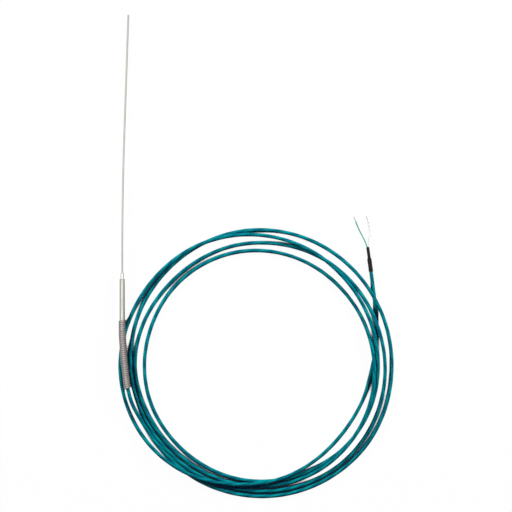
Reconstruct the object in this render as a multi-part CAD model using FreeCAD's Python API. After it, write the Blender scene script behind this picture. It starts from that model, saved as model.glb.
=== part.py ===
"""Mineral insulated thermocouple probe, lying on a table with its lead in a loose coil.

Millimetres. +Y runs along the probe towards its closed tip, +Z is up and the table is at z = 0.
The probe is drawn in its own frame, with the sleeve's nose face at the origin and the sleeve along Y,
and is then tilted so that its tip lies on the table and its spring lies on one strand of the lead.
"""
import FreeCAD, Part
import math
import os

from FreeCAD import Placement, Rotation, Vector

# Sheath: seamless steel tube, closed at the tip, with one slow bend
sheath_diameter = 1.5
sheath_wall = 0.2
sheath_straight_at_nose = 16.0
sheath_bend_length = 101.0
sheath_bend_degrees = 1.9
sheath_straight_at_tip = 100.0
sheath_in_sleeve = 8.0
tip_thickness = 0.8
tip_rounding = 0.45

# Thermoelement wires in the sheath, and the bead that joins them behind the tip
wire_diameter = 0.28
wire_offset = 0.27
bead_diameter = 0.84
bead_length = 0.8
bead_to_cap = 0.4

# Transition sleeve: turned steel with a reduced nose, and a tail that the spring is pushed on
nose_diameter = 3.0
nose_length = 5.0
nose_chamfer = 0.25
body_diameter = 4.5
body_length = 34.4
tail_length = 8.0
body_chamfer = 0.3
body_wall = 0.4
front_wall = 1.0

# Inside the sleeve, from the sheath's open end back to the cable's jacket
flare_length = 5.0
flare_bend_in = 0.8
splice_offset = 0.85
splice_length = 6.0
jacket_in_sleeve = 10.4

# Lead: two insulated conductors in a round jacket
cable_diameter = 3.0
core_diameter = 1.05
conductor_diameter = 0.55
bare_length = 4.2

# Strain relief spring: flat wire wound close, straight on the sleeve's tail and then bent by the lead
spring_play = 0.02
spring_wire_thickness = 0.73
spring_wire_width = 1.62
spring_pitch = 1.77
spring_turns = 32
spring_first_bend_length = 8.4
spring_first_bend_degrees = 3.5
spring_second_bend_degrees = 2.7
flats_per_turn = 12

# Shrink sleeve at the lead's end, wide on the jacket and narrow on the two cores
shrink_wide_diameter = 3.4
shrink_narrow_diameter = 2.6
shrink_wide_length = 12.2
shrink_taper_length = 1.5
shrink_narrow_length = 7.0
jacket_in_shrink = 10.4
shrink_slot_play = 0.1
core_spread = 0.55
core_straight_past_shrink = 2.8

# How things lie: the strand under the spring, and the room that the coil leaves round spring and lead
strand_from_nose = 56.3
lay_gap = 0.05
coil_clearance = 1.1
coil_layers = 2

# The coil's outer and inner edges, as radii at the twelve clock hours, anticlockwise from three o'clock
coil_centre = Vector(110.3, -135.3, 0)
coil_outer = (115.3, 114.9, 114.5, 113.5, 112.1, 113.5, 116.2, 115.8, 111.6, 114.1, 116.4, 117.4)
coil_inner = (97.0, 94.7, 93.2, 93.2, 92.8, 92.0, 92.6, 93.7, 94.7, 97.8, 94.7, 92.6)

# Free ends of the lead: from the spring down to the coil, and out of the coil to the stripped cores
lead_in_points = [Vector(3.3, -164.2, 6.9), Vector(13.1, -183.5, 4.2)]
tail_points = [Vector(211.0, -89.8, 1.5), Vector(205.4, -48.2, 1.78)]
green_points = [Vector(195.4, -21.0, 0.6), Vector(192.4, -12.3, 0.53)]
white_points = [Vector(206.9, -23.4, 0.8), Vector(202.8, -11.9, 0.53)]

# Places along the sleeve's axis, counted down from the nose face
front_wall_end = -nose_length - front_wall
sheath_rear = -nose_length - sheath_in_sleeve
splice_front = sheath_rear - flare_length
splice_middle = splice_front - splice_length / 2
splice_rear = splice_front - splice_length
spring_front = -nose_length - body_length
sleeve_rear = spring_front - tail_length
jacket_front = sleeve_rear + jacket_in_sleeve
body_bore = body_diameter - 2 * body_wall
spring_bore = body_diameter + 2 * spring_play
spring_diameter = spring_bore + 2 * spring_wire_thickness
spring_length = spring_pitch * spring_turns + spring_wire_width
spring_last_bend_length = spring_length - tail_length - spring_first_bend_length


def line(start, end):
    return Part.LineSegment(start, end).toShape()


def bent_path(points, radii):
    """Straight runs joined by tangent arcs, with one radius for each inner point."""
    edges, last = [], points[0]
    for before, corner, after, radius in zip(points, points[1:], points[2:], radii):
        into = (corner - before).normalize()
        out = (after - corner).normalize()
        half_turn = into.getAngle(out) / 2
        reach = radius * math.tan(half_turn)
        inward = (out - into).normalize()
        start, end = corner - into * reach, corner + out * reach
        middle = corner + inward * (radius / math.cos(half_turn) - radius)
        edges += [line(last, start), Part.Arc(start, middle, end).toShape()]
        last = end
    return Part.Wire(edges + [line(last, points[-1])])


def cord_path(name, points):
    """A cord's route, with each arc as large as its two runs allow."""
    radii = []
    for before, corner, after in zip(points, points[1:], points[2:]):
        half_turn = (corner - before).getAngle(after - corner) / 2
        shorter = min(corner.distanceToPoint(before), corner.distanceToPoint(after))
        radii.append(0.45 * shorter / math.tan(half_turn))
    print(name, "bend radii", [round(radius, 1) for radius in radii])
    return bent_path(points, radii)


def end_circle(path, diameter):
    """A circle square to a path, at its start."""
    first = path.Edges[0]
    start = first.valueAt(first.FirstParameter)
    along = first.tangentAt(first.FirstParameter)
    return Part.Wire(Part.makeCircle(diameter / 2, start, along))


def rod(path, diameter):
    """A round solid along a smooth path."""
    return path.makePipe(Part.Face(end_circle(path, diameter)))


def kinked_rod(points, diameter):
    """A round solid along straight runs that meet at sharp kinks."""
    path = Part.makePolygon(points)
    sharp_corners = 1
    return path.makePipeShell([end_circle(path, diameter)], True, False, sharp_corners)


def round_bar(start, end, diameter):
    """A straight round bar between two points."""
    return Part.makeCylinder(diameter / 2, start.distanceToPoint(end), start, end - start)


def turned(profile):
    """A body turned about the sleeve's axis from its half section, given as (radius, place) pairs."""
    outline = [Vector(radius, place, 0) for radius, place in profile]
    half = Part.Face(Part.makePolygon(outline + outline[:1]))
    return half.revolve(Vector(0, 0, 0), Vector(0, 1, 0), 360)


def straight_rod(diameter, front, rear, height=0.0):
    """A round bar along the sleeve's axis, or beside it at a height."""
    return Part.makeCylinder(diameter / 2, front - rear, Vector(0, rear, height), Vector(0, 1, 0))


def one_solid(shape):
    """The single solid that a cut leaves."""
    solids = shape.Solids
    assert len(solids) == 1, "the cut left %d solids" % len(solids)
    return solids[0]


# Sheath and what it holds

sheath_bend = math.radians(sheath_bend_degrees)
sheath_bend_radius = sheath_bend_length / sheath_bend
bend_reach = sheath_bend_radius * math.tan(sheath_bend / 2)
bend_corner = Vector(0, sheath_straight_at_nose + bend_reach, 0)
tip_direction = Vector(math.sin(sheath_bend), math.cos(sheath_bend), 0)
tip_end = bend_corner + tip_direction * (bend_reach + sheath_straight_at_tip)
bead_front = tip_end - tip_direction * (tip_thickness + bead_to_cap)
bead_rear = bead_front - tip_direction * bead_length


def sheath_rod(short_of_tip, diameter):
    """A bar along the sheath's own line, from its open end to a length short of the tip."""
    points = [Vector(0, sheath_rear, 0), bend_corner, tip_end - tip_direction * short_of_tip]
    return rod(bent_path(points, [sheath_bend_radius]), diameter)


def thermo_wire(side):
    """One wire: from the bead, along the powder in three straight runs, then flared out to its splice."""
    kink_reach = bend_reach - sheath_bend_radius * math.tan(sheath_bend / 4)
    in_sheath = Vector(0, 0, side * wire_offset)
    in_splice = Vector(0, 0, side * splice_offset)
    return kinked_rod(
        [
            Vector(0, splice_middle, 0) + in_splice,
            Vector(0, splice_front + flare_bend_in, 0) + in_splice,
            Vector(0, sheath_rear - flare_bend_in, 0) + in_sheath,
            bend_corner - Vector(0, kink_reach, 0) + in_sheath,
            bend_corner + tip_direction * kink_reach + in_sheath,
            bead_rear + in_sheath,
        ],
        wire_diameter,
    )


hot_junction = round_bar(bead_rear, bead_front, bead_diameter)
positive_wire = thermo_wire(1)
negative_wire = thermo_wire(-1)

sheath_inside = sheath_rod(tip_thickness, sheath_diameter - 2 * sheath_wall)
sheath = one_solid(sheath_rod(0, sheath_diameter).cut(sheath_inside))
tip_edges = [
    edge
    for edge in sheath.Edges
    if edge.BoundBox.Center.distanceToPoint(tip_end) < tip_thickness / 4 and edge.Length > sheath_diameter
]
sheath = sheath.makeFillet(tip_rounding, tip_edges)
mineral_insulation = one_solid(sheath_inside.cut([positive_wire, negative_wire, hot_junction]))

# Transition sleeve and what is potted in it

transition_sleeve = turned([
    (sheath_diameter / 2, 0),
    (nose_diameter / 2 - nose_chamfer, 0),
    (nose_diameter / 2, -nose_chamfer),
    (nose_diameter / 2, -nose_length),
    (body_diameter / 2 - body_chamfer, -nose_length),
    (body_diameter / 2, -nose_length - body_chamfer),
    (body_diameter / 2, sleeve_rear + body_wall / 2),
    (body_diameter / 2 - body_wall / 2, sleeve_rear),
    (body_bore / 2, sleeve_rear),
    (body_bore / 2, front_wall_end),
    (sheath_diameter / 2, front_wall_end),
])


def splice_pieces(wire, side):
    """A crimp tube, and the lead's core and conductor from there up to the jacket."""
    height = side * splice_offset
    conductor = straight_rod(conductor_diameter, splice_middle, jacket_front, height)
    crimp = straight_rod(core_diameter, splice_front, splice_rear, height).cut([wire, conductor])
    core = straight_rod(core_diameter, splice_rear, jacket_front, height).cut(conductor)
    return one_solid(crimp), one_solid(core), conductor


positive_splice, positive_lead_core, positive_lead_conductor = splice_pieces(positive_wire, 1)
negative_splice, negative_lead_core, negative_lead_conductor = splice_pieces(negative_wire, -1)

# Strain relief spring


def spring_axis(along):
    """The point on the spring's bent middle line at a length from its front, and the line's slant."""
    bends = [
        (tail_length, 0.0),
        (spring_first_bend_length, math.radians(spring_first_bend_degrees)),
        (spring_last_bend_length, math.radians(spring_second_bend_degrees)),
    ]
    point, slant, left = Vector(0, spring_front, 0), 0.0, along
    for length, turn in bends:
        step = min(left, length)
        after = slant + turn * step / length
        middle_slant = (slant + after) / 2
        half_turn = (after - slant) / 2
        chord = step * (math.sin(half_turn) / half_turn if half_turn else 1.0)
        point = point + Vector(math.sin(middle_slant), -math.cos(middle_slant), 0) * chord
        slant, left = after, left - step
    return point, slant


def spring_point(radius, lead, turn):
    """A corner of the flat wire's section, after a number of turns."""
    centre, slant = spring_axis(lead + spring_pitch * turn)
    across = Vector(math.cos(slant), math.sin(slant), 0)
    angle = 2 * math.pi * turn
    return centre + across * (radius * math.cos(angle)) + Vector(0, 0, radius * math.sin(angle))


def wound_spring():
    """Flat wire wound on the bent line, as short flats of two facets, with a square cut at each end."""
    outside = spring_diameter / 2
    inside = spring_bore / 2 / math.cos(math.pi / flats_per_turn)
    section = [(outside, 0.0), (outside, spring_wire_width), (inside, spring_wire_width), (inside, 0.0)]
    rings = [
        [spring_point(radius, lead, step / flats_per_turn) for radius, lead in section]
        for step in range(spring_turns * flats_per_turn + 1)
    ]
    corners = []
    for end in (rings[0], rings[-1]):
        corners += [end[:3], [end[0], end[2], end[3]]]
    for ring, after in zip(rings, rings[1:]):
        for side in range(4):
            other = (side + 1) % 4
            corners.append([ring[side], ring[other], after[other]])
            corners.append([ring[side], after[other], after[side]])
    shell = Part.Shell([Part.Face(Part.makePolygon(facet + facet[:1])) for facet in corners])
    shell.sewShape()
    solid = Part.Solid(shell)
    if solid.Volume < 0:
        solid.reverse()
    return solid


strain_relief_spring = wound_spring()

# How the probe lies: tip on the table, spring on one strand of the lead, box centred on the origin

spring_end, spring_end_slant = spring_axis(spring_length)
rest_height = cable_diameter + spring_diameter / 2 + lay_gap
tilt = math.atan((rest_height - sheath_diameter / 2) / (tip_end.y + strand_from_nose))
widest_right = spring_end.x + spring_diameter / 2 * math.cos(spring_end_slant)
nose_place = Vector(
    (spring_diameter / 2 - widest_right) / 2,
    -(tip_end.y + spring_end.y) / 2,
    sheath_diameter / 2 + tip_end.y * math.tan(tilt),
)
lay = Placement(nose_place, Rotation(Vector(1, 0, 0), -math.degrees(tilt)))

# Lead from the sleeve through the spring to the coil

spring_end_direction = Vector(math.sin(spring_end_slant), -math.cos(spring_end_slant), 0)
spring_corner = spring_end - spring_end_direction * (spring_end.x / math.sin(spring_end_slant))
lead_in_route = [lay.multVec(Vector(0, jacket_front, 0)), lay.multVec(spring_corner)] + lead_in_points
lead_in_path = cord_path("lead in", lead_in_route)
cable_lead_in = rod(lead_in_path, cable_diameter)

potting_resin = one_solid(
    straight_rod(body_bore, front_wall_end, sleeve_rear).cut([
        straight_rod(sheath_diameter, front_wall_end, sheath_rear),
        positive_wire,
        negative_wire,
        straight_rod(core_diameter, splice_front, jacket_front, splice_offset),
        straight_rod(core_diameter, splice_front, jacket_front, -splice_offset),
        straight_rod(cable_diameter, jacket_front, sleeve_rear),
    ])
)

# Coil of the lead: the outer shape of its loose turns, with room left for the spring and the lead


def coil_face(radii):
    """The flat area inside arcs that pass through the radii at the clock hours, three at a time."""
    points = []
    for hour, radius in enumerate(radii):
        angle = 2 * math.pi * hour / len(radii)
        points.append(coil_centre + Vector(math.cos(angle), math.sin(angle), 0) * radius)
    points.append(points[0])
    arcs = [Part.Arc(*points[hour : hour + 3]).toShape() for hour in range(0, len(radii), 2)]
    return Part.Face(Part.Wire(arcs))


coil_height = coil_layers * cable_diameter
coil_ring = coil_face(coil_outer).cut(coil_face(coil_inner))


def trough(start, end, diameter):
    """A square way along a round bar's line, open above, with the coil's clearance beside and below it."""
    along = end - start
    left = Vector(0, 0, 1).cross(along).normalize()
    up = along.cross(left).normalize()
    reach = diameter / 2 + coil_clearance
    corners = [left * reach - up * reach, -left * reach - up * reach]
    corners += [-left * reach + up * coil_height, left * reach + up * coil_height, corners[0]]
    return Part.Face(Part.makePolygon([start + corner for corner in corners])).extrude(along)


past_corner = (lead_in_route[1] - lead_in_route[0]).normalize() * coil_clearance
past_spring = lay.multVec(spring_end + spring_end_direction * coil_clearance)
cable_coil = one_solid(
    coil_ring.extrude(Vector(0, 0, coil_height)).cut([
        trough(lead_in_route[0], lead_in_route[1] + past_corner, spring_diameter),
        trough(lead_in_route[1], past_spring, spring_diameter),
        trough(lead_in_route[1], lead_in_route[2], cable_diameter),
        trough(lead_in_route[2], lead_in_route[3], cable_diameter),
    ])
)

# Tail of the lead: out from under the coil, into the shrink sleeve, and on as two stripped cores

cable_tail = one_solid(rod(cord_path("tail", tail_points), cable_diameter).cut(cable_coil))
jacket_end = tail_points[-1]
tail_direction = (tail_points[-1] - tail_points[-2]).normalize()
to_the_left = Vector(0, 0, 1).cross(tail_direction)
shrink_start = jacket_end - tail_direction * jacket_in_shrink
shrink_end = shrink_start + tail_direction * (shrink_wide_length + shrink_taper_length + shrink_narrow_length)


def core_and_conductor(name, side, points):
    """One core of the lead, from the jacket's end to its stripped tip, and the conductor's bare end."""
    beside = to_the_left * (side * core_spread)
    last_straight = shrink_end + tail_direction * core_straight_past_shrink + beside
    route = [jacket_end + beside, last_straight] + points
    tip = points[-1]
    backwards = (points[-2] - tip).normalize()
    stripped_end = tip + backwards * bare_length
    core = rod(cord_path(name, route), core_diameter).cut(round_bar(stripped_end, tip, 2 * core_diameter))
    return one_solid(core), round_bar(stripped_end, tip, conductor_diameter)


green_core, green_conductor = core_and_conductor("green core", 1, green_points)
white_core, white_conductor = core_and_conductor("white core", -1, white_points)


def shrink_stretch(start, length, first_diameter, last_diameter):
    """One cylinder or cone of the shrink sleeve's outside, from a length along it."""
    place = shrink_start + tail_direction * start
    if first_diameter == last_diameter:
        return Part.makeCylinder(first_diameter / 2, length, place, tail_direction)
    return Part.makeCone(first_diameter / 2, last_diameter / 2, length, place, tail_direction)


def shrink_slot():
    """The flattened bore that the two cores leave through, side by side."""
    width = core_diameter + 2 * shrink_slot_play
    edge = to_the_left * (core_spread + shrink_slot_play)
    start, end = jacket_end, shrink_end
    up = to_the_left.cross(tail_direction) * (width / 2)
    flat = Part.Face(Part.makePolygon([edge + up, edge - up, -edge - up, -edge + up, edge + up]))
    flat.translate(start)
    sides = [round_bar(start + side, end + side, width) for side in (edge, -edge)]
    return flat.extrude(end - start).fuse(sides).removeSplitter()


shrink_taper_start = shrink_wide_length
shrink_narrow_start = shrink_wide_length + shrink_taper_length
shrink_outside = shrink_stretch(0, shrink_wide_length, shrink_wide_diameter, shrink_wide_diameter).fuse([
    shrink_stretch(shrink_taper_start, shrink_taper_length, shrink_wide_diameter, shrink_narrow_diameter),
    shrink_stretch(shrink_narrow_start, shrink_narrow_length, shrink_narrow_diameter, shrink_narrow_diameter),
])
shrink_sleeve = one_solid(shrink_outside.cut([cable_tail, shrink_slot()]))

# One file for each piece

probe_pieces = {
    "sheath": sheath,
    "mineral_insulation": mineral_insulation,
    "positive_wire": positive_wire,
    "negative_wire": negative_wire,
    "hot_junction": hot_junction,
    "transition_sleeve": transition_sleeve,
    "potting_resin": potting_resin,
    "positive_splice": positive_splice,
    "negative_splice": negative_splice,
    "positive_lead_core": positive_lead_core,
    "negative_lead_core": negative_lead_core,
    "positive_lead_conductor": positive_lead_conductor,
    "negative_lead_conductor": negative_lead_conductor,
    "strain_relief_spring": strain_relief_spring,
}
lead_pieces = {
    "cable_lead_in": cable_lead_in,
    "cable_coil": cable_coil,
    "cable_tail": cable_tail,
    "shrink_sleeve": shrink_sleeve,
    "green_core": green_core,
    "white_core": white_core,
    "green_conductor": green_conductor,
    "white_conductor": white_conductor,
}
for piece in probe_pieces.values():
    piece.Placement = lay.multiply(piece.Placement)

cable_section = math.pi * cable_diameter**2 / 4
print("lead in volume", cable_lead_in.Volume, "section times length", cable_section * lead_in_path.Length)

os.makedirs("parts", exist_ok=True)
for name, shape in {**probe_pieces, **lead_pieces}.items():
    assert shape.isValid(), name
    shape.exportStep("parts/%s.step" % name)
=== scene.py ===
import math

import bmesh
import bpy
from mathutils import Matrix, Vector


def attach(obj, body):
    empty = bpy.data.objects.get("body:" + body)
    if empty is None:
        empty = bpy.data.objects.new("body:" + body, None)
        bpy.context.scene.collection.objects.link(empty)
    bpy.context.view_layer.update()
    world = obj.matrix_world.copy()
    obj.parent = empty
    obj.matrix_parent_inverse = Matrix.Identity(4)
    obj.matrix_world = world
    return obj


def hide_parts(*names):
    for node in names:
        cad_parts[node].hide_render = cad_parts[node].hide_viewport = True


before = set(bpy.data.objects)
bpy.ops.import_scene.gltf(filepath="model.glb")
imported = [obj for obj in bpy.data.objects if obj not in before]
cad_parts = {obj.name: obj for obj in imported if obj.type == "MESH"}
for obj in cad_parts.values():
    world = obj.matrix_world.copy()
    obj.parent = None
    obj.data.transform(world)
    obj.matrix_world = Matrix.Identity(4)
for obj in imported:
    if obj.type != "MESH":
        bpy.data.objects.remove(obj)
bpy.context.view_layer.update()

# Sheath: seamless stainless tube, drawn thin enough to bend by hand, with one slow bend left in it.
# Its tip is closed by a weld that is ground to a low dome, and its open end sits in the transition sleeve.
# The probe lies with this tip on the table and its spring on a strand of the lead.

mm = 0.001
probe_lie = Matrix.Translation(Vector((-1.88888, -59.71274, 4.9579)) * mm) @ Matrix.Rotation(-0.0193954, 4, "X")

sheath_radius = 0.75
sheath_bore_radius = 0.5525
sheath_rear = -13.0
sheath_straight = 16.0
sheath_bend_length = 101.0
sheath_bend = math.radians(1.9)
sheath_length = 217.0
tip_thickness = 0.8
tip_rounding = 0.45
tip_pit_depth = 0.02
tip_pit_radius = 0.12
weld_ring = 0.015
sheath_sides = 36
bend_steps = 14
dome_steps = 6


def skin(name, rings, marks, coat, looped=False, crease=35):
    """A piece skinned over rings of points. Open ends are closed by a fan, and a looped skin joins its last ring to
    its first. Its map, "lay", holds millimetres along the piece and the share of a turn round it."""
    count = len(rings[0])
    points = [point for ring in rings for point in ring]
    faces, lay = [], []
    strips = list(zip(range(len(rings) - 1), range(1, len(rings))))
    if looped:
        strips.append((len(rings) - 1, 0))
    for near, far in strips:
        for j in range(count):
            beside = (j + 1) % count
            faces.append((near * count + j, near * count + beside, far * count + beside, far * count + j))
            lay += [(marks[near], j / count), (marks[near], (j + 1) / count)]
            lay += [(marks[far], (j + 1) / count), (marks[far], j / count)]
    for end in () if looped else (0, len(rings) - 1):
        points.append(sum(rings[end], Vector()) / count)
        for j in range(count):
            faces.append((end * count + j, end * count + (j + 1) % count, len(points) - 1))
            lay += [(marks[end], j / count), (marks[end], (j + 1) / count), (marks[end], (j + 0.5) / count)]
    mesh = bpy.data.meshes.new(name)
    mesh.from_pydata(points, [], faces)
    mesh.uv_layers.new(name="lay").uv.foreach_set("vector", [number for pair in lay for number in pair])
    outward = bmesh.new()
    outward.from_mesh(mesh)
    bmesh.ops.recalc_face_normals(outward, faces=outward.faces)
    outward.to_mesh(mesh)
    outward.free()
    mesh.shade_smooth()
    mesh.set_sharp_from_angle(angle=math.radians(crease))
    mesh.materials.append(coat)
    piece = bpy.data.objects.new(name, mesh)
    bpy.context.scene.collection.objects.link(piece)
    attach(piece, "root")
    return piece


def hoop(centre, side, up, radius, count):
    """A round ring of points about a centre, in the plane of the two directions."""
    turns = [2 * math.pi * j / count for j in range(count)]
    return [centre + side * (radius * math.cos(turn)) + up * (radius * math.sin(turn)) for turn in turns]


def put(tree, kind, inputs=None, **settings):
    """One shader node, with its settings made and its sockets set or linked."""
    made = tree.nodes.new("ShaderNode" + kind)
    for setting, value in settings.items():
        setattr(made, setting, value)
    for socket, value in (inputs or {}).items():
        if isinstance(value, bpy.types.NodeSocket):
            tree.links.new(value, made.inputs[socket])
        else:
            made.inputs[socket].default_value = value
    return made


def effect(name, inputs, outputs):
    """An empty shader group with named sockets: its tree, what comes in, and what goes out."""
    group = bpy.data.node_groups.new(name, "ShaderNodeTree")
    for socket, kind, value in inputs:
        made = group.interface.new_socket(socket, in_out="INPUT", socket_type="NodeSocket" + kind)
        if value is not None:
            made.default_value = value
    for socket, kind in outputs:
        group.interface.new_socket(socket, in_out="OUTPUT", socket_type="NodeSocket" + kind)
    return group, group.nodes.new("NodeGroupInput").outputs, group.nodes.new("NodeGroupOutput").inputs


def tool_lines():
    """Fine lines left by a drawing die or a turning tool, on a map of millimetres along and turns round."""
    group, given, made = effect(
        "tool_lines",
        [("Lay", "Vector", None), ("Along", "Float", 1.0), ("Round", "Float", 1.0)],
        [("Lines", "Float")],
    )
    lay = put(group, "SeparateXYZ", {"Vector": given["Lay"]})
    angle = put(group, "Math", {0: lay.outputs["Y"], 1: 2 * math.pi}, operation="MULTIPLY")
    over = put(group, "Math", {0: angle.outputs[0]}, operation="COSINE")
    up = put(group, "Math", {0: angle.outputs[0]}, operation="SINE")
    place = put(
        group,
        "CombineXYZ",
        {
            "X": put(group, "Math", {0: lay.outputs["X"], 1: given["Along"]}, operation="MULTIPLY").outputs[0],
            "Y": put(group, "Math", {0: over.outputs[0], 1: given["Round"]}, operation="MULTIPLY").outputs[0],
            "Z": put(group, "Math", {0: up.outputs[0], 1: given["Round"]}, operation="MULTIPLY").outputs[0],
        },
    )
    grain = put(group, "TexNoise", {"Vector": place.outputs[0], "Scale": 1.0, "Detail": 3.0, "Roughness": 0.6})
    spread = put(group, "MapRange", {"Value": grain.outputs["Fac"], "From Min": 0.3, "From Max": 0.7})
    group.links.new(spread.outputs["Result"], made["Lines"])
    return group


def handling():
    """Faint smudges and dulled patches from handling, in the piece's own space: a tinted colour and a mask."""
    group, given, made = effect(
        "handling",
        [("Colour", "Color", None), ("Smudge", "Color", None), ("Size", "Float", 300.0), ("Amount", "Float", 0.3)],
        [("Colour", "Color"), ("Dull", "Float")],
    )
    own = put(group, "TexCoord")
    cloud = put(group, "TexNoise", {"Vector": own.outputs["Object"], "Scale": given["Size"], "Detail": 5.0})
    dull = put(group, "MapRange", {"Value": cloud.outputs["Fac"], "From Min": 0.42, "From Max": 0.66})
    share = put(group, "Math", {0: dull.outputs["Result"], 1: given["Amount"]}, operation="MULTIPLY")
    tint = put(
        group,
        "Mix",
        {"Factor": share.outputs[0], "A": given["Colour"], "B": given["Smudge"]},
        data_type="RGBA",
    )
    group.links.new(tint.outputs["Result"], made["Colour"])
    group.links.new(dull.outputs["Result"], made["Dull"])
    return group


tool_lines_effect = tool_lines()
handling_effect = handling()


def metal_finish(name, bright, dark, smudge, roughness, along, round_, line_height, patch_size):
    """A worked metal: tool lines between two shades, smudged by handling, duller where it is smudged."""
    coat = bpy.data.materials.new(name)
    coat.use_nodes = True
    tree = coat.node_tree
    shader = tree.nodes["Principled BSDF"]
    lay = put(tree, "UVMap", uv_map="lay")
    lines = put(tree, "Group", node_tree=tool_lines_effect)
    lines.inputs["Along"].default_value = along
    lines.inputs["Round"].default_value = round_
    tree.links.new(lay.outputs["UV"], lines.inputs["Lay"])
    shades = put(
        tree,
        "Mix",
        {"Factor": lines.outputs["Lines"], "A": (*dark, 1.0), "B": (*bright, 1.0)},
        data_type="RGBA",
    )
    worn = put(tree, "Group", node_tree=handling_effect)
    worn.inputs["Smudge"].default_value = (*smudge, 1.0)
    worn.inputs["Size"].default_value = patch_size
    tree.links.new(shades.outputs["Result"], worn.inputs["Colour"])
    rough = put(tree, "MapRange", {"Value": worn.outputs["Dull"], "To Min": roughness[0], "To Max": roughness[1]})
    relief = put(tree, "Bump", {"Height": lines.outputs["Lines"], "Strength": 0.25, "Distance": line_height})
    tree.links.new(worn.outputs["Colour"], shader.inputs["Base Color"])
    tree.links.new(rough.outputs["Result"], shader.inputs["Roughness"])
    tree.links.new(relief.outputs["Normal"], shader.inputs["Normal"])
    shader.inputs["Metallic"].default_value = 1.0
    return coat


drawn_stainless = metal_finish(
    "drawn_stainless",
    bright=(0.40, 0.39, 0.355),
    dark=(0.36, 0.35, 0.315),
    smudge=(0.33, 0.32, 0.285),
    roughness=(0.34, 0.42),
    along=0.05,
    round_=4.0,
    line_height=0.000002,
    patch_size=70.0,
)


def sheath_place(gone):
    """The middle of the sheath, a length from the nose face, with the level and the upright direction there."""
    slant = sheath_bend * min(max(gone - sheath_straight, 0.0), sheath_bend_length) / sheath_bend_length
    past = max(gone - sheath_straight - sheath_bend_length, 0.0)
    bend_radius = sheath_bend_length / sheath_bend
    x = bend_radius * (1 - math.cos(slant)) + past * math.sin(slant)
    y = min(gone, sheath_straight) + bend_radius * math.sin(slant) + past * math.cos(slant)
    return Vector((x, y, 0.0)), Vector((math.cos(slant), -math.sin(slant), 0.0)), Vector((0.0, 0.0, 1.0))


sheath_steps = [sheath_rear, 0.0]
sheath_steps += [sheath_straight + sheath_bend_length * k / bend_steps for k in range(bend_steps + 1)]
sheath_steps += [140.0, 170.0, 200.0, 214.0, sheath_length - 1.5]
tip_profile = [
    (sheath_length - 1.1, sheath_radius),
    (sheath_length - 0.95, sheath_radius + weld_ring),
    (sheath_length - 0.8, sheath_radius),
]
for step in range(dome_steps + 1):
    lean = math.pi / 2 * step / dome_steps
    height = tip_rounding * (math.sin(lean) - 1)
    tip_profile.append((sheath_length + height, sheath_radius - tip_rounding * (1 - math.cos(lean))))
tip_profile.append((sheath_length - tip_pit_depth, tip_pit_radius))
sheath_outline = [(sheath_length - tip_thickness, 0.2), (sheath_length - tip_thickness, sheath_bore_radius)]
sheath_outline += [(gone, sheath_bore_radius) for gone in reversed(sheath_steps)]
sheath_outline += [(gone, sheath_radius) for gone in sheath_steps] + tip_profile
sheath_rings = []
for gone, radius in sheath_outline:
    ring = hoop(*sheath_place(gone), radius, sheath_sides)
    sheath_rings.append([probe_lie @ (point * mm) for point in ring])
sheath = skin("sheath_tube", sheath_rings, [gone for gone, radius in sheath_outline], drawn_stainless)
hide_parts("sheath")

# Filling of the sheath: two thermoelement wires in hard pressed oxide powder, welded in a bead behind the tip.
# Wires and powder are drawn down with the tube, so they fill it tight. None of it shows from outside.


def inner_finish(name, colour, speck, grain_size, roughness, metallic=0.0, grain_height=0.00002):
    """A finish for a piece inside the probe: two shades of grain in the piece's own space, with a little relief."""
    coat = bpy.data.materials.new(name)
    coat.use_nodes = True
    tree = coat.node_tree
    shader = tree.nodes["Principled BSDF"]
    own = put(tree, "TexCoord")
    grain = put(tree, "TexNoise", {"Vector": own.outputs["Object"], "Scale": grain_size, "Detail": 4.0})
    shades = put(
        tree,
        "Mix",
        {"Factor": grain.outputs["Fac"], "A": (*colour, 1.0), "B": (*speck, 1.0)},
        data_type="RGBA",
    )
    rough = put(
        tree,
        "MapRange",
        {"Value": grain.outputs["Fac"], "To Min": roughness - 0.08, "To Max": roughness + 0.08},
    )
    relief = put(tree, "Bump", {"Height": grain.outputs["Fac"], "Strength": 0.3, "Distance": grain_height})
    tree.links.new(shades.outputs["Result"], shader.inputs["Base Color"])
    tree.links.new(rough.outputs["Result"], shader.inputs["Roughness"])
    tree.links.new(relief.outputs["Normal"], shader.inputs["Normal"])
    shader.inputs["Metallic"].default_value = metallic
    return coat


def give(coat, *nodes):
    """A CAD piece that stays as it is takes this finish."""
    for node in nodes:
        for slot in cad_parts[node].material_slots:
            slot.material = coat


positive_alloy = inner_finish("positive_alloy", (0.40, 0.37, 0.33), (0.52, 0.49, 0.44), 4000.0, 0.32, 1.0)
negative_alloy = inner_finish("negative_alloy", (0.46, 0.45, 0.42), (0.60, 0.59, 0.55), 4000.0, 0.30, 1.0)
give(inner_finish("pressed_oxide", (0.78, 0.76, 0.71), (0.66, 0.64, 0.60), 9000.0, 0.9), "mineral_insulation")
give(inner_finish("junction_weld", (0.30, 0.28, 0.26), (0.46, 0.42, 0.36), 6000.0, 0.45, 1.0), "hot_junction")
give(positive_alloy, "positive_wire", "positive_lead_conductor")
give(negative_alloy, "negative_wire", "negative_lead_conductor")

# Transition sleeve: stainless turned from bar, with a short reduced nose that is pressed on the sheath.
# Its long bore takes the splices and the lead's end, and its tail goes into the spring.

nose_end = -5.0
sleeve_sides = 64
turned_stainless = metal_finish(
    "turned_stainless",
    bright=(0.42, 0.41, 0.367),
    dark=(0.385, 0.376, 0.337),
    smudge=(0.35, 0.341, 0.303),
    roughness=(0.32, 0.40),
    along=5.0,
    round_=0.25,
    line_height=0.000002,
    patch_size=80.0,
)


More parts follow.
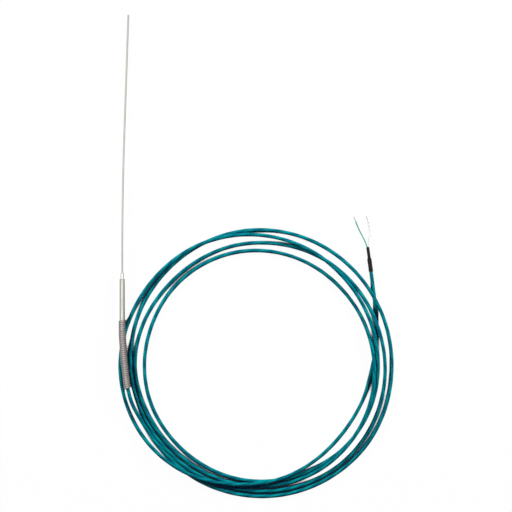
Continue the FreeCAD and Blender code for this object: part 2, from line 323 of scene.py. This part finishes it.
def burnished_nose(coat):
    """The same steel, brighter and smoother on the nose, where the press has rubbed it."""
    tree = coat.node_tree
    shader = tree.nodes["Principled BSDF"]
    place = put(tree, "SeparateXYZ", {"Vector": put(tree, "UVMap", uv_map="lay").outputs["UV"]})
    nose = put(
        tree,
        "MapRange",
        {"Value": place.outputs["X"], "From Min": nose_end - 0.1, "From Max": nose_end + 0.1},
    )
    for socket, rubbed in (("Base Color", (0.56, 0.55, 0.51, 1.0)), ("Roughness", (0.24, 0.24, 0.24, 1.0))):
        before = shader.inputs[socket].links[0].from_socket
        mixed = put(tree, "Mix", {"Factor": nose.outputs["Result"]}, data_type="RGBA")
        tree.links.new(before, mixed.inputs["A"])
        mixed.inputs["B"].default_value = rubbed
        tree.links.new(mixed.outputs["Result"], shader.inputs[socket])


burnished_nose(turned_stainless)
sleeve_outline = [
    # place along from the nose face, and radius: the nose, the body and its tail, then back through the bore
    (0.0, 0.75), (0.0, 1.18), (-0.07, 1.25), (-0.25, 1.43), (-0.4, 1.5),
    (-1.6, 1.5), (-1.7, 1.46), (-1.95, 1.46), (-2.05, 1.5),
    (-4.9, 1.5), (-5.0, 1.6), (-5.0, 1.88), (-5.06, 1.97), (-5.28, 2.2), (-5.4, 2.25),
    (-16.0, 2.25), (-28.0, 2.25), (-39.0, 2.25), (-47.1, 2.25), (-47.2, 2.23), (-47.4, 2.05),
    (-47.4, 1.853), (-47.3, 1.853), (-6.1, 1.853), (-6.0, 1.8), (-6.0, 0.8), (-5.9, 0.75), (-0.1, 0.75),
]
sleeve_rings = []
for place, radius in sleeve_outline:
    ring = hoop(Vector((0, place, 0)), Vector((1, 0, 0)), Vector((0, 0, 1)), radius, sleeve_sides)
    sleeve_rings.append([probe_lie @ (point * mm) for point in ring])
sleeve_marks = [place for place, radius in sleeve_outline]
sleeve = skin("sleeve_turned", sleeve_rings, sleeve_marks, turned_stainless, looped=True)
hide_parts("transition_sleeve")

# Inside the sleeve: each wire is crimped to its lead conductor in a small brass tube, and resin is poured round it.
# The resin holds the lead's jacket in the tail and keeps damp out of the powder. None of it shows from outside.

crimp_brass = inner_finish("crimp_brass", (0.62, 0.45, 0.20), (0.74, 0.56, 0.28), 5000.0, 0.35, 1.0)
give(crimp_brass, "positive_splice", "negative_splice")
give(inner_finish("potting_resin", (0.032, 0.030, 0.028), (0.055, 0.052, 0.047), 2500.0, 0.28), "potting_resin")

# Strain relief spring: flat stainless wire wound close, pushed over the sleeve's tail and left round the lead.
# It lies straight on the tail, then follows the lead, and its turns open a little where the tail ends.

spring_wire = metal_finish(
    "spring_wire",
    bright=(0.29, 0.268, 0.258),
    dark=(0.25, 0.232, 0.222),
    smudge=(0.21, 0.195, 0.185),
    roughness=(0.44, 0.54),
    along=0.08,
    round_=3.0,
    line_height=0.000004,
    patch_size=220.0,
)
spring_front = -38.7
spring_turns = 32
spring_pitch = 1.79
spring_wire_width = 1.69
spring_wire_thickness = 0.73
spring_outer_radius = 3.0
spring_stretches = [(8.0, 0.0), (8.4, math.radians(3.5)), (42.9, math.radians(4.55))]
steps_per_turn = 40
wire_start = math.radians(-90)
wire_sides = 16
wire_squareness = 3.8


def spring_middle(along):
    """The spring's middle line: a point at a length from its front, and its slant there."""
    point, slant, left = Vector((0.0, spring_front, 0.0)), 0.0, along
    for length, turn in spring_stretches:
        step = min(left, length)
        after = slant + turn * step / length
        lean = (slant + after) / 2
        point = point + Vector((math.sin(lean), -math.cos(lean), 0.0)) * step
        slant, left = after, left - step
    return point, slant


def rounded_flat(count, squareness):
    """The flat wire's section, as places from its middle in half widths and half thicknesses."""
    places = []
    for j in range(count):
        turn = 2 * math.pi * (j + 0.5) / count
        across, along = math.cos(turn), math.sin(turn)
        power = 2 / squareness
        places.append((math.copysign(abs(across) ** power, across), math.copysign(abs(along) ** power, along)))
    return places


def spring_opening(turn):
    """How far a turn is pushed back by the wider gap where the sleeve's tail ends, in millimetres."""
    gap_turn, gap = 4.5, 0.22
    share = min(max((turn - gap_turn + 0.5), 0.0), 1.0)
    return gap * share * max(0.0, 1 - (turn - gap_turn) / (spring_turns - gap_turn))


spring_section = rounded_flat(wire_sides, wire_squareness)
spring_rings, spring_marks = [], []
for step in range(spring_turns * steps_per_turn + 1):
    turn = step / steps_per_turn
    angle = 2 * math.pi * turn + wire_start
    ring = []
    for thick, wide in spring_section:
        radius = spring_outer_radius - spring_wire_thickness / 2 * (1 - thick)
        middle, slant = spring_middle(spring_wire_width / 2 * (1 + wide) + spring_pitch * turn + spring_opening(turn))
        over = Vector((math.cos(slant), math.sin(slant), 0.0)) * (radius * math.cos(angle))
        ring.append(probe_lie @ ((middle + over + Vector((0, 0, radius * math.sin(angle)))) * mm))
    spring_rings.append(ring)
    spring_marks.append(angle * spring_outer_radius)
spring = skin("flat_wire_spring", spring_rings, spring_marks, spring_wire, crease=50)
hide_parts("strain_relief_spring")

# Lead: two stranded cores twisted together under a thin extruded teal jacket, which shows their lay as slow
# lobes and is pressed a little oval along its way. It leaves the sleeve through the spring, lies in just over four
# loose turns that rise over each other in long low humps, and ends past the coil in its stripped cores.

cable_radius = 1.5
lobe_lay = 29.0
lobe_height = 0.02
jacket_swell = 0.04
press_height = 0.035
press_run = 12.4
press_sway = 1.5
press_sway_run = 47
cable_sides = 20
cable_line_steps = 16
held_length = 10.4
held_radius = 0.995
spring_rests_at = Vector((-1.4, -116.0)) * mm
spring_dent = 0.11
spring_dent_reach = 16 * mm
spring_dent_sink = 1.06 * cable_radius * mm
strand_below = 2.5 * mm
cable_rest = 1.65
coil_middle = (110.25, -135.32)
coil_start = 220
coil_step = 20
hump_height = 3.5
hump_run = 20
out_of_sleeve = [
    (-1.8889, -96.7058, 5.6755),
    (-1.8889, -122.2656, 6.1713),
    (3.3, -164.2, 6.9),
    (13.7, -183.2, 4.2),
]
coil_turns = [
    # radii every 20 degrees anticlockwise from 220, then the stretches, in degrees, where the turn lies on others
    ([106.5, 109.4, 110.8, 112.8, 114.1, 115.5, 115.1, 113.8, 113.4,
      113.2, 113.0, 112.4, 111.2, 109.2, 107.2, 106.5, 105.6, 104.6],
     [(190, 208), (380, 400)]),
    ([104.1, 105.1, 106.6, 108.5, 110.2, 110.7, 110.0, 108.2, 106.2,
      105.3, 103.9, 101.5, 100.4, 98.8, 98.3, 100.2, 101.8, 100.3],
     [(364, 386)]),
    ([99.9, 100.9, 102.8, 104.0, 104.3, 103.1, 101.6, 99.0, 96.9,
      94.9, 94.5, 94.5, 94.5, 94.0, 93.5, 92.9, 93.6, 94.5],
     [(304, 370)]),
    ([94.6, 96.1, 98.2, 100.0, 101.0, 103.0, 103.2, 102.4, 102.0,
      102.3, 104.6, 106.6, 108.8, 110.5, 111.0, 112.2, 114.2, 114.2],
     [(362, 380), (400, 432), (456, 490)]),
    ([112.4, 108.8, 102.9, 99.5, 95.5, 93.1, 94.3],
     [(222, 290)]),
]
out_of_coil = [
    (206.4, -145.4, cable_rest),
    (210.4, -126.1, cable_rest),
    (212.0, -107.6, cable_rest),
    (211.0, -89.8, cable_rest),
    (205.4, -48.2, 1.78),
]


def coil_points():
    """The coil's points, turn by turn, set out a little so that the smooth line has the radius itself."""
    set_out = 1 / math.cos(math.radians(coil_step / 2))
    points = []
    for radii, humps in coil_turns:
        for k, radius in enumerate(radii):
            degrees = coil_start + coil_step * k
            off_hump = [max(low - degrees, degrees - high, 0) / hump_run for low, high in humps]
            rise = hump_height * max(0.0, 1 - min(off_hump))
            turn = math.radians(degrees)
            x = coil_middle[0] + radius * set_out * math.cos(turn)
            y = coil_middle[1] + radius * set_out * math.sin(turn)
            points.append((x, y, cable_rest + rise))
    return points


def smooth_line(points, resolution):
    """The smooth line that a limp cord takes with these control points, read from its own spline."""
    bend = bpy.data.curves.new("bend", "CURVE")
    bend.dimensions = "3D"
    bend.resolution_u = resolution
    spline = bend.splines.new("NURBS")
    spline.points.add(len(points) - 1)
    for knot, point in zip(spline.points, points):
        knot.co = (point[0] * mm, point[1] * mm, point[2] * mm, 1.0)
    spline.order_u = 3
    spline.use_endpoint_u = True
    carrier = bpy.data.objects.new("bend", bend)
    traced = bpy.data.meshes.new_from_object(carrier)
    line = [corner.co.copy() for corner in traced.vertices]
    bpy.data.objects.remove(carrier)
    bpy.data.curves.remove(bend)
    bpy.data.meshes.remove(traced)
    return line


def along_line(line):
    """At each point of a line that lies nearly level: millimetres gone, the point, the way across, and the way up."""
    gone, found = 0.0, []
    for k, point in enumerate(line):
        ahead, behind = line[min(k + 1, len(line) - 1)], line[max(k - 1, 0)]
        across = (ahead - behind).cross(Vector((0, 0, 1))).normalized()
        gone += (point - line[k - 1]).length / mm if k else 0.0
        found.append((gone, point, across, across.cross(ahead - behind).normalized()))
    return found


def extruded_skin():
    """An extruded plastic's skin: a colour that drifts a little, thin dust, and the fine ripple of the die."""
    group, given, made = effect(
        "extruded_skin",
        [("Colour", "Color", None), ("Drift", "Color", None), ("Size", "Float", 120.0), ("Dust", "Float", 0.1)],
        [("Colour", "Color"), ("Dust", "Float"), ("Height", "Float")],
    )
    own = put(group, "TexCoord")
    cloud = put(group, "TexNoise", {"Vector": own.outputs["Object"], "Scale": given["Size"], "Detail": 3.0})
    share = put(group, "MapRange", {"Value": cloud.outputs["Fac"], "From Min": 0.35, "From Max": 0.65})
    drift = put(
        group,
        "Mix",
        {"Factor": share.outputs["Result"], "A": given["Colour"], "B": given["Drift"]},
        data_type="RGBA",
    )
    specks = put(group, "TexNoise", {"Vector": own.outputs["Object"], "Scale": 2400.0, "Detail": 2.0})
    dust = put(group, "MapRange", {"Value": specks.outputs["Fac"], "From Min": 0.6, "From Max": 0.75})
    dusty = put(group, "Math", {0: dust.outputs["Result"], 1: given["Dust"]}, operation="MULTIPLY")
    pale = put(
        group,
        "Mix",
        {"Factor": dusty.outputs[0], "A": drift.outputs["Result"], "B": (0.55, 0.58, 0.58, 1.0)},
        data_type="RGBA",
    )
    ripple = put(group, "TexNoise", {"Vector": own.outputs["Object"], "Scale": 900.0, "Detail": 2.0})
    group.links.new(pale.outputs["Result"], made["Colour"])
    group.links.new(dusty.outputs[0], made["Dust"])
    group.links.new(ripple.outputs["Fac"], made["Height"])
    return group


extruded_skin_effect = extruded_skin()


def plastic_finish(name, colour, drift, size, dust, roughness, gloss, ripple):
    """An extruded or shrunk plastic: the skin's drifting colour and dust, and a soft gloss."""
    coat = bpy.data.materials.new(name)
    coat.use_nodes = True
    tree = coat.node_tree
    shader = tree.nodes["Principled BSDF"]
    body = put(tree, "Group", node_tree=extruded_skin_effect)
    for socket, value in (("Colour", (*colour, 1.0)), ("Drift", (*drift, 1.0)), ("Size", size), ("Dust", dust)):
        body.inputs[socket].default_value = value
    rough = put(tree, "MapRange", {"Value": body.outputs["Dust"], "To Min": roughness, "To Max": roughness + 0.3})
    relief = put(tree, "Bump", {"Height": body.outputs["Height"], "Strength": 0.3, "Distance": ripple})
    tree.links.new(body.outputs["Colour"], shader.inputs["Base Color"])
    tree.links.new(rough.outputs["Result"], shader.inputs["Roughness"])
    tree.links.new(relief.outputs["Normal"], shader.inputs["Normal"])
    shader.inputs["Specular IOR Level"].default_value = gloss
    return coat


def lobed_jacket():
    """The jacket's finish: its teal on the lobes over the cores, deeper in the groove between the two where the
    jacket is thicker, and darkened further there to navy as painted shade.
    """
    coat = plastic_finish(
        "teal_jacket",
        colour=(0.001, 0.268, 0.280),
        drift=(0.001, 0.150, 0.190),
        size=90.0,
        dust=0.0,
        roughness=0.60,
        gloss=0.03,
        ripple=0.00002,
    )
    tree = coat.node_tree
    shader = tree.nodes["Principled BSDF"]
    skin_colour = shader.inputs["Base Color"].links[0].from_socket
    lay = put(tree, "SeparateXYZ", {"Vector": put(tree, "UVMap", uv_map="lay").outputs["UV"]})
    gone = put(tree, "Math", {0: lay.outputs["X"], 1: -1 / lobe_lay, 2: lay.outputs["Y"]}, operation="MULTIPLY_ADD")
    angle = put(tree, "Math", {0: gone.outputs[0], 1: 4 * math.pi}, operation="MULTIPLY")
    crest = put(tree, "Math", {0: angle.outputs[0]}, operation="COSINE")
    # Painted shade: the colour goes navy in the groove between the two cores, along their lay.
    groove_painted_shade_mask = put(tree, "MapRange", {"Value": crest.outputs[0], "From Min": 0.4, "From Max": -0.9, "To Max": 0.7})
    groove_painted_shade = put(
        tree,
        "Mix",
        {"Factor": groove_painted_shade_mask.outputs["Result"], "A": skin_colour, "B": (0.001, 0.075, 0.115, 1.0)},
        data_type="RGBA",
    )
    tree.links.new(groove_painted_shade.outputs["Result"], shader.inputs["Base Color"])
    return coat


cable_line = smooth_line(out_of_sleeve + coil_points() + out_of_coil, cable_line_steps)
cable_places = along_line(cable_line)
cable_gone = cable_places[-1][0]
cable_rings, cable_marks = [], []
for gone, point, across, up in cable_places:
    ring = []
    free = min(max(min(gone, cable_gone - gone) - held_length, 0.0), 1.0)
    flat = 0.0
    if point.z < strand_below:
        flat = spring_dent * max(0.0, 1 - (point.xy - spring_rests_at).length / spring_dent_reach)
    middle = point - up * (spring_dent_sink * flat)
    pressed = press_height * math.sin(gone / press_run + press_sway * math.sin(gone / press_sway_run))
    for j in range(cable_sides):
        turn = 2 * math.pi * j / cable_sides
        lobe = jacket_swell + lobe_height * math.cos(2 * (turn - 2 * math.pi * gone / lobe_lay))
        lobe += pressed * math.cos(2 * turn)
        reach = cable_radius * mm * (held_radius + free * (1 - held_radius + lobe))
        ring.append(middle + across * (reach * math.cos(turn)) + up * (reach * (1 - flat) * math.sin(turn)))
    cable_rings.append(ring)
    cable_marks.append(gone)
cable = skin("lead_cable", cable_rings, cable_marks, lobed_jacket())
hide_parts("cable_lead_in", "cable_coil", "cable_tail")

# Shrink sleeve: black heat shrink tube over the jacket's end, shrunk on to the two cores where they leave it.
# It is round on the jacket, necks in past the jacket's cut end, and goes flat and oval round the cores.

shrink_start = Vector((206.7875, -58.5068, 1.7106))
shrink_end = Vector((204.0259, -37.9923, 1.8487))
shrink_along = (shrink_end - shrink_start).normalized()
shrink_across = shrink_along.cross(Vector((0, 0, 1))).normalized()
shrink_up = shrink_across.cross(shrink_along)
shrink_sides = 40
shrink_black = plastic_finish(
    "shrink_black",
    colour=(0.009, 0.008, 0.010),
    drift=(0.017, 0.015, 0.018),
    size=300.0,
    dust=0.01,
    roughness=0.6,
    gloss=0.10,
    ripple=0.00006,
)


def shrink_wrinkle(place, turn):
    """How far the shrunk wall stands proud of its even shape, as a share of its radius."""
    slow = 0.014 * math.sin(place * 0.9 + 1.3 * math.sin(turn))
    return slow + 0.010 * math.sin(3 * turn + place * 0.55) + 0.006 * math.sin(place * 2.7 - 2 * turn)


shrink_outline = [
    # place along, half width, half height, and whether it is the outside
    (20.7, 1.13, 0.66, False), (14.2, 1.13, 0.66, False), (10.6, 1.3, 1.3, False), (10.4, 1.5, 1.5, False),
    (0.06, 1.5, 1.5, False), (0.0, 1.55, 1.55, False), (0.0, 1.7, 1.64, True), (0.1, 1.8, 1.7, True),
]
for step in range(1, 13):  # even steps along the wide part, for its wrinkles
    shrink_outline.append((0.1 + step * 0.8, 1.8, 1.7, True))
shrink_outline += [
    (10.2, 1.8, 1.7, True), (10.6, 1.8, 1.69, True), (10.9, 1.76, 1.65, True), (11.1, 1.63, 1.5, True),
    (11.4, 1.44, 1.27, True), (11.8, 1.34, 1.1, True), (12.3, 1.31, 1.02, True), (13.9, 1.3, 0.99, True),
]
for step in range(1, 9):  # and along the narrow part
    shrink_outline.append((13.9 + step * 0.83, 1.29, 0.98, True))
shrink_outline += [(20.64, 1.27, 0.95, True), (20.7, 1.2, 0.86, True)]
shrink_rings = []
for place, wide, high, outside in shrink_outline:
    ring = []
    for j in range(shrink_sides):
        turn = 2 * math.pi * j / shrink_sides
        reach = 1 + (shrink_wrinkle(place, turn) if outside else 0.0)
        over = shrink_across * (wide * reach * math.cos(turn)) + shrink_up * (high * reach * math.sin(turn))
        ring.append((shrink_start + shrink_along * place + over) * mm)
    shrink_rings.append(ring)
shrink = skin("shrink_tube", shrink_rings, [row[0] for row in shrink_outline], shrink_black, looped=True, crease=50)
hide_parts("shrink_sleeve")

# Cores: the two conductors in their own thin insulation, green for the positive leg and white for the negative.
# They spread apart past the shrink sleeve, and each is stripped for the last few millimetres.

core_radius = 0.525
core_sides = 20
core_line_steps = 14
cut_edge_length = 0.25
cut_edge_turn_in = 0.12
bare_length = 4.2
green_points = [
    # the first two lie in the shrink sleeve
    (204.8549, -48.2734, 1.78),
    (203.9432, -41.5004, 1.8256),
    (203.1073, -35.2908, 1.8674),
    (195.4, -21.0, 0.6),
    (192.4, -12.3, 0.53),
]
white_points = [
    (205.9451, -48.1266, 1.78),
    (205.0333, -41.3536, 1.8256),
    (204.1974, -35.144, 1.8674),
    (206.9, -23.4, 0.8),
    (202.8, -11.9, 0.53),
]


def core_finish(name, colour, drift):
    """A core's thin smooth insulation."""
    return plastic_finish(name, colour, drift, size=200.0, dust=0.0, roughness=0.5, gloss=0.15, ripple=0.00001)


green_insulation = core_finish("green_insulation", (0.06, 0.37, 0.24), (0.05, 0.32, 0.21))
white_insulation = core_finish("white_insulation", (0.74, 0.74, 0.75), (0.70, 0.70, 0.71))
give(green_insulation, "positive_lead_core")
give(white_insulation, "negative_lead_core")


def cut_line(line, bare):
    """A line parted a length before its end: the stretch up to there and the stretch past it."""
    left = sum((far - near).length for near, far in zip(line, line[1:])) - bare * mm
    for k, (near, far) in enumerate(zip(line, line[1:])):
        step = (far - near).length
        if step >= left:
            cut = near.lerp(far, left / step)
            return line[: k + 1] + [cut], [cut] + line[k + 1 :]
        left -= step


def stripped_core(name, line, coat):
    """One core's insulation, cut square where it is stripped, with its edge a little turned in by the cutter."""
    rings, marks = [], []
    places = along_line(line)
    for gone, point, across, up in places:
        near_cut = max(0.0, 1 - (places[-1][0] - gone) / cut_edge_length)
        rings.append(hoop(point, across, up, core_radius * mm * (1 - cut_edge_turn_in * near_cut), core_sides))
        marks.append(gone)
    return skin(name, rings, marks, coat)


green_line, green_bare = cut_line(smooth_line(green_points, core_line_steps), bare_length)
white_line, white_bare = cut_line(smooth_line(white_points, core_line_steps), bare_length)
green_core = stripped_core("green_insulation", green_line, green_insulation)
white_core = stripped_core("white_insulation", white_line, white_insulation)
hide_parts("green_core")
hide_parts("white_core")

# Bare ends: the stripped last millimetres of the two conductors, seven fine alloy strands twisted together.
# The strands are left as the cutter leaves them, and fan out a little at the very end.

strand_radius = 0.092
strand_ring = 0.183
strand_twist = 7.0
strand_sides = 10
strand_steps = 24
fan_from = 0.75
fan_spread = 0.25
strand_alloy = metal_finish(
    "strand_alloy",
    bright=(0.36, 0.35, 0.33),
    dark=(0.28, 0.27, 0.25),
    smudge=(0.22, 0.21, 0.19),
    roughness=(0.26, 0.36),
    along=0.3,
    round_=2.0,
    line_height=0.00001,
    patch_size=500.0,
)


def twisted_strands(name, line):
    """Seven strands along a line, six of them wound round the one in the middle, joined as one piece."""
    places = along_line([line[0].lerp(line[-1], k / strand_steps) for k in range(strand_steps + 1)])
    strands = []
    for strand in range(7):
        rings, marks = [], []
        for gone, point, across, up in places:
            own_share = 0.6 + 0.4 * math.sin(strand * 2.3)
            fan = 1 + fan_spread * max(0.0, gone / bare_length - fan_from) * own_share
            turn = 2 * math.pi * (strand / 6 + gone / strand_twist)
            reach = strand_ring * fan * mm if strand < 6 else 0.0
            middle = point + across * (reach * math.cos(turn)) + up * (reach * math.sin(turn))
            rings.append(hoop(middle, across, up, strand_radius * mm, strand_sides))
            marks.append(gone)
        strands.append(skin("%s_strand_%d" % (name, strand), rings, marks, strand_alloy))
    bundle = bmesh.new()
    for strand in strands:
        bundle.from_mesh(strand.data)
    strands[0].name = name
    bundle.to_mesh(strands[0].data)
    bundle.free()
    for strand in strands[1:]:
        bpy.data.objects.remove(strand)
    return strands[0]


green_conductor = twisted_strands("green_bare_end", green_bare)
white_conductor = twisted_strands("white_bare_end", white_bare)
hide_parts("green_conductor")
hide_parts("white_conductor")

# Table: a plain pale sweep under the probe. The eye, metal and gloss see it white, and it still takes faint shadows;
# its glow is painted dark navy shade in narrow gaps.
# Two soft lamps stand low at its upper corners, and the room is a dim cool fill. A wide softbox lights the metal.


def white_to_the_eye(tree):
    """One where a ray comes from the camera, a gloss or a clear piece, and nought for soft light."""
    rays = put(tree, "LightPath")
    seen = put(
        tree,
        "Math",
        {0: rays.outputs["Is Camera Ray"], 1: rays.outputs["Is Glossy Ray"]},
        operation="MAXIMUM",
    )
    clear = rays.outputs["Is Transmission Ray"]
    return put(tree, "Math", {0: seen.outputs[0], 1: clear}, operation="MAXIMUM").outputs[0]


table_reach = 8
shade_reach = 6 * mm
glow_share = 0.97
table_white = bpy.data.materials.new("table_white")
table_white.use_nodes = True
tree = table_white.node_tree
tree.nodes.remove(tree.nodes["Principled BSDF"])
own = put(tree, "TexCoord")
eye = white_to_the_eye(tree)
paper = put(tree, "TexNoise", {"Vector": own.outputs["Object"], "Scale": 40.0, "Detail": 3.0})
paper_shade = put(
    tree,
    "Mix",
    {"Factor": paper.outputs["Fac"], "A": (0.08, 0.08, 0.09, 1.0), "B": (0.11, 0.11, 0.12, 1.0)},
    data_type="RGBA",
)
paper_seen = put(
    tree,
    "Mix",
    {"Factor": eye, "A": paper_shade.outputs["Result"], "B": (0.90, 0.90, 0.92, 1.0)},
    data_type="RGBA",
)
matt = put(tree, "BsdfDiffuse", {"Color": paper_seen.outputs["Result"]})
# Painted shade: where the floor is closed in above, in narrow gaps between strands and under raised parts, its glow
# goes dark navy.
open_above = put(tree, "AmbientOcclusion", {"Distance": shade_reach}, samples=96)
painted_gap_shade_mask = put(tree, "MapRange", {"Value": open_above.outputs["AO"], "From Min": 0.39, "From Max": 0.45})
glow_with_painted_gap_shade = put(
    tree,
    "Mix",
    {"Factor": painted_gap_shade_mask.outputs["Result"], "A": (0.006, 0.010, 0.022, 1.0), "B": (1.0, 1.0, 1.0, 1.0)},
    data_type="RGBA",
)
glow = put(tree, "Emission", {"Color": glow_with_painted_gap_shade.outputs["Result"], "Strength": 1.0})
share = put(tree, "Math", {0: eye, 1: glow_share}, operation="MULTIPLY")
blend = put(tree, "MixShader", {0: share.outputs[0], 1: matt.outputs[0], 2: glow.outputs[0]})
tree.links.new(blend.outputs[0], tree.nodes["Material Output"].inputs["Surface"])
table_mesh = bpy.data.meshes.new("table")
table_corners = [(x * table_reach, y * table_reach, 0) for x, y in ((-1, -1), (1, -1), (1, 1), (-1, 1))]
table_mesh.from_pydata(table_corners, [], [(0, 1, 2, 3)])
table_mesh.materials.append(table_white)
table = bpy.data.objects.new("table", table_mesh)
bpy.context.scene.collection.objects.link(table)

room = bpy.data.worlds.new("room")
bpy.context.scene.world = room
room.use_nodes = True
tree = room.node_tree
fill = tree.nodes["Background"]
fill.inputs["Color"].default_value = (0.20, 0.30, 1.0, 1.0)
fill.inputs["Strength"].default_value = 0.08
white = put(tree, "Background", {"Color": (1.0, 1.0, 1.0, 1.0), "Strength": 1.0})
blend = put(tree, "MixShader", {0: white_to_the_eye(tree), 1: fill.outputs[0], 2: white.outputs[0]})
tree.links.new(blend.outputs[0], tree.nodes["World Output"].inputs["Surface"])


def soft_lamp(name, place, target, width, depth, power):
    """A soft lamp that faces a point."""
    light = bpy.data.lights.new(name, "AREA")
    light.shape = "RECTANGLE"
    light.size = width
    light.size_y = depth
    light.energy = power
    lamp = bpy.data.objects.new(name, light)
    lamp.location = place
    lamp.rotation_euler = (Vector(target) - Vector(place)).to_track_quat("-Z", "Y").to_euler()
    bpy.context.scene.collection.objects.link(lamp)
    return lamp


lamp_target = (0.11, -0.12, 0.0)
left_lamp = soft_lamp("left_lamp", (-0.98, 0.60, 0.62), lamp_target, width=0.7, depth=0.4, power=25.5)
right_lamp = soft_lamp("right_lamp", (1.20, 0.60, 0.62), lamp_target, width=0.7, depth=0.4, power=25.5)
for lamp in (left_lamp, right_lamp):
    lamp.visible_glossy = False
softbox = soft_lamp("softbox", (-0.3, 0.1, 1.8), (0.06, -0.05, 0.0), width=2.4, depth=2.4, power=27.0)
softbox.visible_diffuse = False

# Camera: straight above the table with a long lens, as the photograph is taken, with the probe's tip at the top.

view_middle = (0.11025, -0.0454)
view_width = 0.430
camera_height = 3.0
lens = bpy.data.cameras.new("overhead_view")
lens.lens = lens.sensor_width * camera_height / view_width
lens.clip_end = 100.0
camera = bpy.data.objects.new("overhead_view", lens)
camera.location = (*view_middle, camera_height)
bpy.context.scene.collection.objects.link(camera)
bpy.context.scene.camera = camera
bpy.context.scene.view_settings.view_transform = "Standard"
